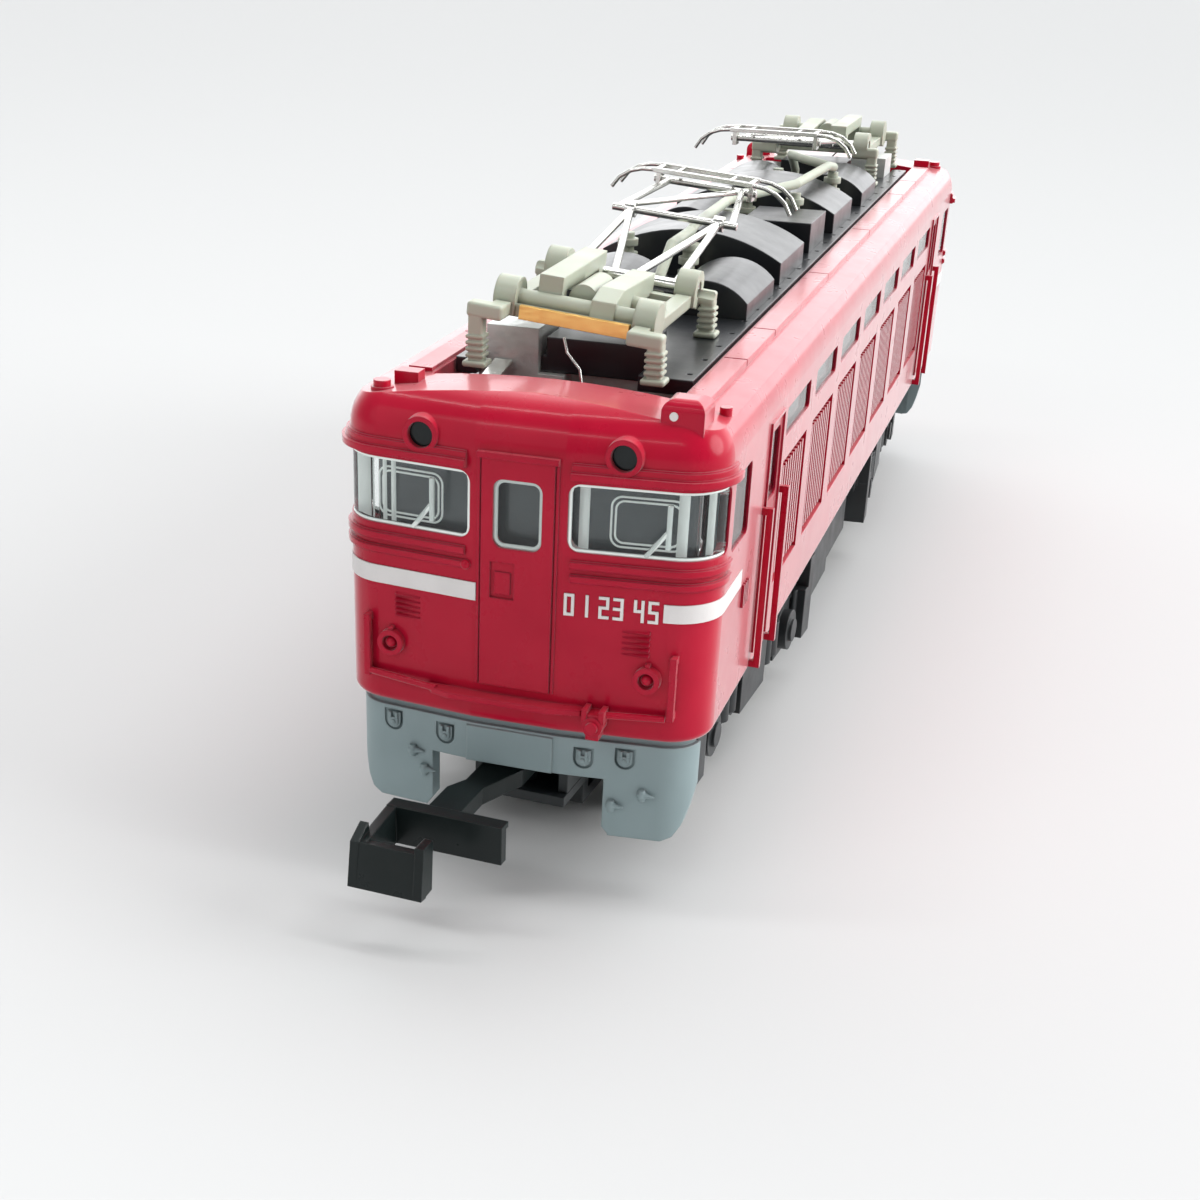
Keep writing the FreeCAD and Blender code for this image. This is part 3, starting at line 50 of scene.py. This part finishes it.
def place_camera():
    yaw, pitch, roll = (math.radians(a) for a in (CAMERA_YAW, CAMERA_PITCH, CAMERA_ROLL))
    ahead = Vector((-math.sin(yaw) * math.cos(pitch), math.cos(yaw) * math.cos(pitch), -math.sin(pitch)))
    side = ahead.cross(Vector((0, 0, 1))).normalized()
    up = side.cross(ahead)
    right = math.cos(roll) * side + math.sin(roll) * up
    top = -math.sin(roll) * side + math.cos(roll) * up
    data = bpy.data.cameras.new("camera")
    data.sensor_fit = "HORIZONTAL"
    data.sensor_width = SENSOR
    data.lens = FOCAL_PIXELS * SENSOR / IMAGE
    data.shift_x = (IMAGE / 2 - CENTRE_PIXELS[0]) / IMAGE
    data.shift_y = (CENTRE_PIXELS[1] - IMAGE / 2) / IMAGE
    data.clip_start = CLIP_NEAR
    data.clip_end = CLIP_FAR
    data.dof.use_dof = False
    camera = bpy.data.objects.new("camera", data)
    turn = Matrix((right, top, -ahead)).transposed()
    camera.matrix_world = Matrix.Translation(CAMERA_AT) @ turn.to_4x4()
    bpy.context.collection.objects.link(camera)
    bpy.context.scene.camera = camera


# ---------------------------------------------------------------- materials
RAY_SAMPLES_EDGE = 6
RAY_SAMPLES_HOLLOW = 12
HOLLOW_REACH = 0.5 * MM
# Strength of the painted shade in corners and grooves.
HOLLOW_SHADE = 0.55
FINISHES = {}


class Finish:
    """One principled material whose node graph grows by small calls."""

    def __init__(self, name, colour, roughness, **sockets):
        self.material = bpy.data.materials.new(name)
        self.material.use_nodes = True
        self.tree = self.material.node_tree
        self.shader = self.tree.nodes["Principled BSDF"]
        self.set("Base Color", (*colour, 1))
        self.set("Roughness", roughness)
        for socket, value in sockets.items():
            self.set(socket.replace("_", " "), value)
        self.place = self.add("ShaderNodeTexCoord").outputs["Object"]
        FINISHES[name] = self

    def set(self, socket, value):
        self.shader.inputs[socket].default_value = value

    def add(self, kind, inputs=None, **settings):
        node = self.tree.nodes.new(kind)
        for key, value in settings.items():
            setattr(node, key, value)
        for key, value in (inputs or {}).items():
            if isinstance(value, bpy.types.NodeSocket):
                self.tree.links.new(value, node.inputs[key])
            else:
                node.inputs[key].default_value = value
        return node

    def feed(self, socket, source):
        self.tree.links.new(source, self.shader.inputs[socket])

    def noise(self, size_mm, detail=3.0, roughness=0.55, stretch=(1, 1, 1)):
        """Noise whose blobs are about size_mm across."""
        mapped = self.add("ShaderNodeMapping", {"Vector": self.place, "Scale": stretch})
        settings = {"Vector": mapped.outputs[0], "Scale": 1 / (size_mm * MM),
                    "Detail": detail, "Roughness": roughness}
        return self.add("ShaderNodeTexNoise", settings).outputs["Fac"]

    def span(self, source, low, high, to_low=0.0, to_high=1.0):
        settings = {"Value": source, "From Min": low, "From Max": high, "To Min": to_low, "To Max": to_high}
        return self.add("ShaderNodeMapRange", settings).outputs[0]

    def blend(self, factor, first, second):
        """Mix of two colours, each either a socket or a plain colour."""
        node = self.add("ShaderNodeMix", data_type="RGBA", blend_type="MIX")
        sockets = {s.identifier: s for s in node.inputs}
        self.tree.links.new(factor, sockets["Factor_Float"])
        for key, value in (("A_Color", first), ("B_Color", second)):
            if isinstance(value, bpy.types.NodeSocket):
                self.tree.links.new(value, sockets[key])
            else:
                sockets[key].default_value = (*value, 1)
        return next(s for s in node.outputs if s.identifier == "Result_Color")

    def times(self, first, second):
        return self.add("ShaderNodeMath", {0: first, 1: second}, operation="MULTIPLY").outputs[0]

    def rounded(self, radius_mm):
        """The surface normal with its sharp edges rounded off."""
        return self.add("ShaderNodeBevel", {"Radius": radius_mm * MM}, samples=RAY_SAMPLES_EDGE).outputs[0]

    def edges(self, rounded):
        """1 along sharp edges and 0 on flat faces."""
        plain = self.add("ShaderNodeNewGeometry").outputs["Normal"]
        likeness = self.add("ShaderNodeVectorMath", {0: rounded, 1: plain}, operation="DOT_PRODUCT")
        return self.span(likeness.outputs["Value"], 0.97, 0.78)

    def shade_in_hollows(self):
        """Painted shade: 1 deep in corners and grooves and 0 in the open."""
        sky = self.add("ShaderNodeAmbientOcclusion", {"Distance": HOLLOW_REACH}, samples=RAY_SAMPLES_HOLLOW)
        return self.span(sky.outputs["AO"], 0.75, 0.25)

    def relief(self, height, depth_mm, strength, normal):
        inputs = {"Height": height, "Distance": depth_mm * MM, "Strength": strength, "Normal": normal}
        self.feed("Normal", self.add("ShaderNodeBump", inputs).outputs[0])


def moulded(name, colour, roughness, edge_highlight_tint, hollow_shade_tint, vary=0.06, grain_mm=0.12, depth_mm=0.004,
            edge_mm=0.10, **sockets):
    """Moulded or painted plastic: uneven tone, painted highlight along the edges, painted shade in the
    corners, fine grain.
    """
    f = Finish(name, colour, roughness, **sockets)
    lighter = tuple(min(1, c * (1 + vary) + 0.004) for c in colour)
    darker = tuple(c * (1 - vary) for c in colour)
    tone = f.blend(f.span(f.noise(6.0), 0.35, 0.65), darker, lighter)
    rounded = f.rounded(edge_mm)
    # Lighter along sharp edges, in patches: painted highlight.
    lit_edges = f.times(f.edges(rounded), f.span(f.noise(1.1, 4), 0.38, 0.62, 0.15, 0.75))
    tone = f.blend(lit_edges, tone, edge_highlight_tint)
    # Darker in corners and grooves: painted shade.
    tone = f.blend(f.times(f.shade_in_hollows(), HOLLOW_SHADE), tone, hollow_shade_tint)
    f.feed("Base Color", tone)
    f.feed("Roughness", f.span(f.noise(2.2, 5), 0.3, 0.7, roughness * 0.82, roughness * 1.22))
    f.relief(f.noise(grain_mm, 2), depth_mm, 0.6, rounded)


def metal(name, colour, roughness, tarnish, brushed=(1, 1, 1), depth_mm=0.004, grain_mm=0.15, metallic=1.0):
    """Bare metal: streaky roughness, a little tarnish, fine scratches."""
    f = Finish(name, colour, roughness, Metallic=metallic)
    streak = f.noise(grain_mm, 4, 0.6, brushed)
    stain = f.span(f.noise(2.5, 4), 0.45, 0.75)
    f.feed("Base Color", f.blend(f.times(stain, 0.6), colour, tarnish))
    f.feed("Roughness", f.span(streak, 0.3, 0.7, roughness * 0.7, roughness * 1.4))
    f.relief(streak, depth_mm, 0.5, f.rounded(0.05))


def build_plastics():
    moulded("red_shell", (0.50, 0.0016, 0.028), 0.30, (0.60, 0.015, 0.060), (0.22, 0.001, 0.010),
            edge_mm=0.14, depth_mm=0.0015, Coat_Weight=1.0, Coat_Roughness=0.12, Coat_IOR=1.2,
            Specular_IOR_Level=0.12, Sheen_Weight=0.60, Sheen_Roughness=0.30)
    moulded("grey_skirt", (0.270, 0.352, 0.366), 0.42, (0.38, 0.46, 0.47), (0.055, 0.080, 0.088), edge_mm=0.14)
    moulded("black_roof", (0.009, 0.011, 0.014), 0.34, (0.05, 0.055, 0.065), (0.002, 0.002, 0.003),
            vary=0.2, edge_mm=0.14, Coat_Weight=0.4, Coat_Roughness=0.22)
    moulded("pale_grey", (0.450, 0.480, 0.385), 0.40, (0.58, 0.60, 0.49), (0.10, 0.095, 0.065),
            edge_mm=0.16, Subsurface_Weight=0.06, Subsurface_Scale=0.0004)
    moulded("black_plastic", (0.016, 0.020, 0.022), 0.40, (0.06, 0.07, 0.07), (0.003, 0.004, 0.004),
            vary=0.2, edge_mm=0.12)
    moulded("coupler_plastic", (0.005, 0.010, 0.010), 0.32, (0.030, 0.042, 0.040), (0.005, 0.009, 0.009),
            vary=0.10, edge_mm=0.12, Coat_Weight=0.10, Coat_Roughness=0.18, Specular_IOR_Level=0.22)
    moulded("gear_plastic", (0.55, 0.53, 0.48), 0.38, (0.75, 0.73, 0.68), (0.2, 0.18, 0.14))
    moulded("lamp_lens", (0.006, 0.010, 0.011), 0.14, (0.03, 0.042, 0.046), (0.003, 0.005, 0.006),
            depth_mm=0.001, Coat_Weight=0.15, Coat_Roughness=0.05, Specular_IOR_Level=0.2)
    moulded("silver_print", (0.80, 0.77, 0.76), 0.38, (0.60, 0.48, 0.48), (0.34, 0.28, 0.29),
            vary=0.10, grain_mm=0.10, depth_mm=0.012, edge_mm=0.05, Metallic=0.2)
    # Its emission is painted light: the glazing edges, frames, posts and wipers glow though they are no lamp.
    moulded("glazing_edge_glow", (0.70, 0.76, 0.73), 0.20, (0.85, 0.88, 0.86), (0.40, 0.46, 0.45),
            vary=0.12, grain_mm=0.3, edge_mm=0.04, Coat_Weight=0.5, Coat_Roughness=0.06,
            Emission_Color=(0.80, 0.86, 0.84, 1), Emission_Strength=0.28)
    moulded("cab_shade", (0.050, 0.070, 0.084), 0.40, (0.10, 0.13, 0.14), (0.02, 0.03, 0.035), vary=0.3)
    moulded("board", (0.03, 0.10, 0.06), 0.4, (0.3, 0.35, 0.2), (0.01, 0.03, 0.02))


def build_clear_parts():
    glass = Finish("clear_glazing", (0.93, 0.97, 0.965), 0.03, Transmission_Weight=1.0, IOR=1.46)
    glass.feed("Roughness", glass.span(glass.noise(1.5, 4), 0.4, 0.8, 0.015, 0.08))
    glass.relief(glass.noise(2.5, 2), 0.008, 0.3, glass.rounded(0.10))
    guide = Finish("clear_guide", (0.90, 0.94, 0.92), 0.08, Transmission_Weight=0.9, IOR=1.5)
    guide.feed("Roughness", guide.span(guide.noise(1.0), 0.3, 0.7, 0.05, 0.2))


def build_metals():
    metal("cast_metal", (0.78, 0.80, 0.78), 0.46, (0.50, 0.52, 0.50), depth_mm=0.06, grain_mm=0.35,
          metallic=0.55)
    metal("steel", (0.60, 0.60, 0.59), 0.26, (0.40, 0.38, 0.35), (1, 1, 4))
    metal("motor_steel", (0.50, 0.50, 0.49), 0.32, (0.33, 0.32, 0.30), (1, 0.2, 1))
    metal("brass", (1.0, 0.64, 0.22), 0.42, (0.85, 0.50, 0.16), (0.25, 1, 1))
    metal("nickel", (0.66, 0.64, 0.60), 0.22, (0.40, 0.37, 0.32))
    metal("bright_wire", (0.74, 0.74, 0.71), 0.20, (0.45, 0.44, 0.40), depth_mm=0.002)


def dress_nodes():
    """Every CAD node takes the finish of its record slot."""
    for piece in NODES.values():
        for holder in piece.material_slots:
            wanted = holder.material.name.split(".")[0]
            holder.material = FINISHES[wanted].material


# ---------------------------------------------------------------- cab window details, in mm
HALF_WIDTH = 9.35
HALF_LENGTH = 44.2
NOSE_FLAT = 2.2
NOSE_SWEEP = 0.11
CORNER_R = 2.3
SILL_Z = 18.3
HEADER_Z = 21.55
PLAN_STEPS = 8
CORNER_STEPS = 6

RIM_INSET = 0.16
RIM_R = 0.09
RIM_MARGIN = 0.07
DOOR_RIM_R = 0.10
FRAME_INSET = 1.36
FRAME_R = 0.055
WIPER_PLACES = (-4.36, 7.05)
WIPER_R = 0.11
POST_INSET = 1.34
POST_DEPTH = 0.12
POSTS = ((-8.15, 0.55), (-7.15, 0.22), (-6.68, 0.26), (2.85, 0.5), (7.35, 0.45), (8.3, 0.35))
POST_RINGS = ((17.75, 0.8), (17.95, 1.0), (19.9, 1.0), (21.75, 1.0), (21.95, 0.8))
SHADE_INSETS = (1.50, 1.62)
SHADE_HEIGHTS = (17.3, 22.05)
SHADE_END_Y = -38.0
SHARP_ANGLE = 40


def nose_y(x, inset):
    """Where the front face lies at x, moved inwards by inset."""
    return -HALF_LENGTH + inset + NOSE_SWEEP * max(0.0, abs(x) - NOSE_FLAT)


def nose_plan(inset, start_x, end_y):
    """Points of the body's plan moved inwards by inset, from start_x round the corner to end_y."""
    lean = math.atan(NOSE_SWEEP)
    width = HALF_WIDTH - inset
    radius = CORNER_R - inset
    reach = radius * math.tan((math.pi / 2 - lean) / 2)
    last_x = width - reach * math.cos(lean)
    points = []
    for n in range(PLAN_STEPS + 1):
        x = start_x + (last_x - start_x) * n / PLAN_STEPS
        points.append((x, nose_y(x, inset)))
    centre_x = width - radius
    centre_y = nose_y(width, inset) + reach
    for n in range(1, PLAN_STEPS + 1):
        angle = (lean - math.pi / 2) * (1 - n / PLAN_STEPS)
        points.append((centre_x + radius * math.cos(angle), centre_y + radius * math.sin(angle)))
    if end_y > points[-1][1]:
        points.append((width, end_y))
    return points


def rounded_loop(x0, x1, z0, z1, radius, inset, side=1):
    """A rounded rectangle that lies on the front face's plan, mirrored for side = -1."""
    loop = []
    for cx, cz, start in ((x1 - radius, z1 - radius, 0), (x0 + radius, z1 - radius, 90),
                          (x0 + radius, z0 + radius, 180), (x1 - radius, z0 + radius, 270)):
        for n in range(CORNER_STEPS + 1):
            angle = math.radians(start + 90 * n / CORNER_STEPS)
            x = cx + radius * math.cos(angle)
            loop.append((side * x, nose_y(x, inset), cz + radius * math.sin(angle)))
    return loop


def strands(name, turn, paths, radius_mm, closed=False):
    """Round strands through the given points, in mm."""
    data = bpy.data.curves.new(name, "CURVE")
    data.dimensions = "3D"
    data.bevel_depth = radius_mm * MM
    data.bevel_resolution = 2
    data.use_fill_caps = True
    for path in paths:
        spline = data.splines.new("POLY")
        spline.points.add(len(path) - 1)
        for point, (x, y, z) in zip(spline.points, path):
            point.co = (x * turn * MM, y * turn * MM, z * MM, 1)
        spline.use_cyclic_u = closed
    piece = bpy.data.objects.new(name, data)
    bpy.context.collection.objects.link(piece)
    return piece


def mesh_piece(name, work):
    """The mesh that was built in work, smooth but for its sharp edges."""
    bmesh.ops.recalc_face_normals(work, faces=work.faces)
    mesh = bpy.data.meshes.new(name)
    work.to_mesh(mesh)
    work.free()
    for face in mesh.polygons:
        face.use_smooth = True
    mesh.set_sharp_from_angle(angle=math.radians(SHARP_ANGLE))
    piece = bpy.data.objects.new(name, mesh)
    bpy.context.collection.objects.link(piece)
    return piece


def window_rims(name, turn):
    """The edge of the glazing where it meets the shell round each windscreen, bright with a painted glow."""
    plan = nose_plan(RIM_INSET, 2.75, -41.75)
    corner_y = nose_y(0, 0.19)
    paths = []
    for side in (-1, 1):
        low = [(side * x, y, SILL_Z + RIM_MARGIN) for x, y in plan]
        high = [(side * x, y, HEADER_Z - RIM_MARGIN) for x, y in plan]
        corner_low = [(side * x, corner_y, SILL_Z + rise) for x, rise in ((2.46, 0.45), (2.53, 0.2))]
        corner_high = [(side * x, corner_y, HEADER_Z - drop) for x, drop in ((2.53, 0.2), (2.46, 0.45))]
        paths.append(high[::-1] + corner_high + corner_low + low)
    return strands(name, turn, paths, RIM_R)


def door_rim(name, turn):
    """The edge of the glazing round the gangway door's window, bright with a painted glow."""
    loop = rounded_loop(-1.10, 1.10, 18.20, 21.30, 0.42, 0.10)
    return strands(name, turn, [loop], DOOR_RIM_R, closed=True)


def window_frames(name, turn):
    """The moulded frame lines that show through each windscreen."""
    paths = [rounded_loop(4.1, 7.45, 18.45, 20.85, 0.5, FRAME_INSET, side) for side in (-1, 1)]
    paths += [rounded_loop(4.3, 7.25, 18.65, 20.65, 0.4, FRAME_INSET, side) for side in (-1, 1)]
    return strands(name, turn, paths, FRAME_R, closed=True)


def window_wipers(name, turn):
    """The pale wiper blades and arms moulded over the windscreens, lit up by a painted glow."""
    paths = []
    for x in WIPER_PLACES:
        y = nose_y(x, 0.02)
        arm_y = nose_y(x - 0.6, 0.04)
        paths.append([(x, y, 18.85), (x - 0.02, y, 19.9), (x, y, 20.9)])
        paths.append([(x - 1.0, arm_y, 18.42), (x - 0.6, arm_y, 18.9), (x - 0.08, y, 19.6)])
    return strands(name, turn, paths, WIPER_R)


def post_ring(work, turn, x, y, half_wide, z, pinch):
    """One half-round outline of a post at height z."""
    ring = []
    for k in range(7):
        angle = math.pi * k / 6
        across = x - math.cos(angle) * half_wide * pinch
        along = y - math.sin(angle) * POST_DEPTH * pinch
        ring.append(work.verts.new((across * turn * MM, along * turn * MM, z * MM)))
    return ring


def window_posts(name, turn):
    """Upright ribs of the cab glazing, slightly crowned bars behind the windscreens."""
    work = bmesh.new()
    for x, wide in POSTS:
        round_corner = max(0.0, abs(x) - 7.4) ** 2 * 0.55
        y = nose_y(x, POST_INSET) + round_corner
        rings = [post_ring(work, turn, x, y, wide / 2, z, pinch) for z, pinch in POST_RINGS]
        for low, high in zip(rings, rings[1:]):
            for k in range(len(low)):
                work.faces.new((low[k - 1], low[k], high[k], high[k - 1]))
        work.faces.new(rings[0])
        work.faces.new(rings[-1][::-1])
    return mesh_piece(name, work)


def cab_shades(name, turn):
    """The dark screen behind the cab glazing."""
    work = bmesh.new()
    rings = []
    for inset in SHADE_INSETS:
        half = nose_plan(inset, 0.0, SHADE_END_Y)
        plan = [(-x, y) for x, y in reversed(half[1:])] + half
        for z in SHADE_HEIGHTS:
            rings.append([work.verts.new((x * turn * MM, y * turn * MM, z * MM)) for x, y in plan])
    outer_low, outer_high, inner_low, inner_high = rings
    around = (outer_low, outer_high, inner_high, inner_low)
    for a, b in zip(around, around[1:] + around[:1]):
        for n in range(len(a) - 1):
            work.faces.new((a[n], a[n + 1], b[n + 1], b[n]))
    work.faces.new([ring[0] for ring in around])
    work.faces.new([ring[-1] for ring in reversed(around)])
    return mesh_piece(name, work)


# The rims, frames, posts and wipers glow with painted light from their finish.
CAB_DETAILS = (
    ("window_rims", window_rims, "glazing_edge_glow", "clear_glazing"),
    ("door_rim", door_rim, "glazing_edge_glow", "clear_glazing"),
    ("window_frames", window_frames, "glazing_edge_glow", "clear_glazing"),
    ("window_posts", window_posts, "glazing_edge_glow", "clear_glazing"),
    ("window_wipers", window_wipers, "glazing_edge_glow", "clear_glazing"),
    ("cab_shade", cab_shades, "cab_shade", "black_roof"),
)


def build_cab_details():
    """Each detail at the front cab and its twin, turned round, at the rear cab."""
    for name, make, finish, slot_name in CAB_DETAILS:
        for end, turn in (("front", 1), ("rear", -1)):
            piece = make(end + "_" + name, turn)
            piece.data.materials.append(FINISHES[finish].material)
            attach(piece, "body")


# ---------------------------------------------------------------- floor and light
FLOOR_HALF = 3.0
FLOOR_COLOUR = (0.60, 0.605, 0.605)
WORLD_COLOUR = (0.98, 0.99, 1, 1)
WORLD_LIGHT = 0.22
BACKDROP_LIGHT = 2.2
BACKDROP_FROM = -0.1
BACKDROP_TO = 0.75
BACKGROUND_SEEN = 0.9
# Suns: name, where the light comes from, strength, softness. Far-off light keeps the floor even.
SUNS = (
    ("overhead", (0.35, 0.35, 1.0), 0.72, 1.0),
    ("window", (1.0, 0.15, 0.40), 1.9, 0.6),
    ("front", (-0.6, -1.0, 0.5), 0.35, 0.8),
)
# Softboxes: name, place, aim and size in mm, power.
SOFTBOXES = (
    ("strip_left", (-90, -60, 330), (0, -30, 20), (20, 200), 0.16),
    ("strip_right", (120, -20, 330), (0, -20, 20), (24, 220), 0.20),
    ("strip_front", (-60, -300, 250), (0, -44, 22), (260, 18), 0.11),
)


def make_floor():
    mesh = bpy.data.meshes.new("floor")
    h = FLOOR_HALF
    mesh.from_pydata([(-h, -h, 0), (h, -h, 0), (h, h, 0), (-h, h, 0)], [], [(0, 1, 2, 3)])
    floor = bpy.data.objects.new("floor", mesh)
    bpy.context.collection.objects.link(floor)
    mesh.materials.append(Finish("floor_paint", FLOOR_COLOUR, 0.8, Specular_IOR_Level=0.1).material)


def hang_light(name, data, place, aim):
    light = bpy.data.objects.new(name, data)
    light.location = place
    light.rotation_mode = "QUATERNION"
    light.rotation_quaternion = (aim - place).to_track_quat("-Z", "Y")
    bpy.context.collection.objects.link(light)


def light_world():
    """A pale surround, brighter behind the model, that is plain where the camera looks past the floor."""
    world = bpy.data.worlds.new("studio")
    bpy.context.scene.world = world
    world.use_nodes = True
    nodes, links = world.node_tree.nodes, world.node_tree.links
    direction = nodes.new("ShaderNodeTexCoord")
    parts = nodes.new("ShaderNodeSeparateXYZ")
    ramp = nodes.new("ShaderNodeMapRange")
    ramp.interpolation_type = "SMOOTHSTEP"
    for socket, value in (("From Min", BACKDROP_FROM), ("From Max", BACKDROP_TO),
                          ("To Min", WORLD_LIGHT), ("To Max", BACKDROP_LIGHT)):
        ramp.inputs[socket].default_value = value
    links.new(direction.outputs["Generated"], parts.inputs[0])
    links.new(parts.outputs["Y"], ramp.inputs["Value"])
    seen = nodes.new("ShaderNodeLightPath")
    plain = nodes.new("ShaderNodeMix")
    plain.inputs["B"].default_value = BACKGROUND_SEEN
    links.new(seen.outputs["Is Camera Ray"], plain.inputs["Factor"])
    links.new(ramp.outputs[0], plain.inputs["A"])
    links.new(plain.outputs["Result"], nodes["Background"].inputs["Strength"])
    nodes["Background"].inputs[0].default_value = WORLD_COLOUR


def light_scene():
    light_world()
    for name, source, strength, softness in SUNS:
        data = bpy.data.lights.new(name, "SUN")
        data.energy = strength
        data.angle = softness
        hang_light(name, data, Vector((0, 0, 0)), -Vector(source))
    for name, place, aim, size, power in SOFTBOXES:
        data = bpy.data.lights.new(name, "AREA")
        data.shape = "RECTANGLE"
        data.size, data.size_y = (s * MM for s in size)
        data.energy = power
        hang_light(name, data, Vector(place) * MM, Vector(aim) * MM)
    bpy.context.scene.view_settings.view_transform = "Standard"
    bpy.context.scene.view_settings.look = "None"


place_camera()
build_plastics()
build_clear_parts()
build_metals()
dress_nodes()
build_cab_details()
make_floor()
light_scene()
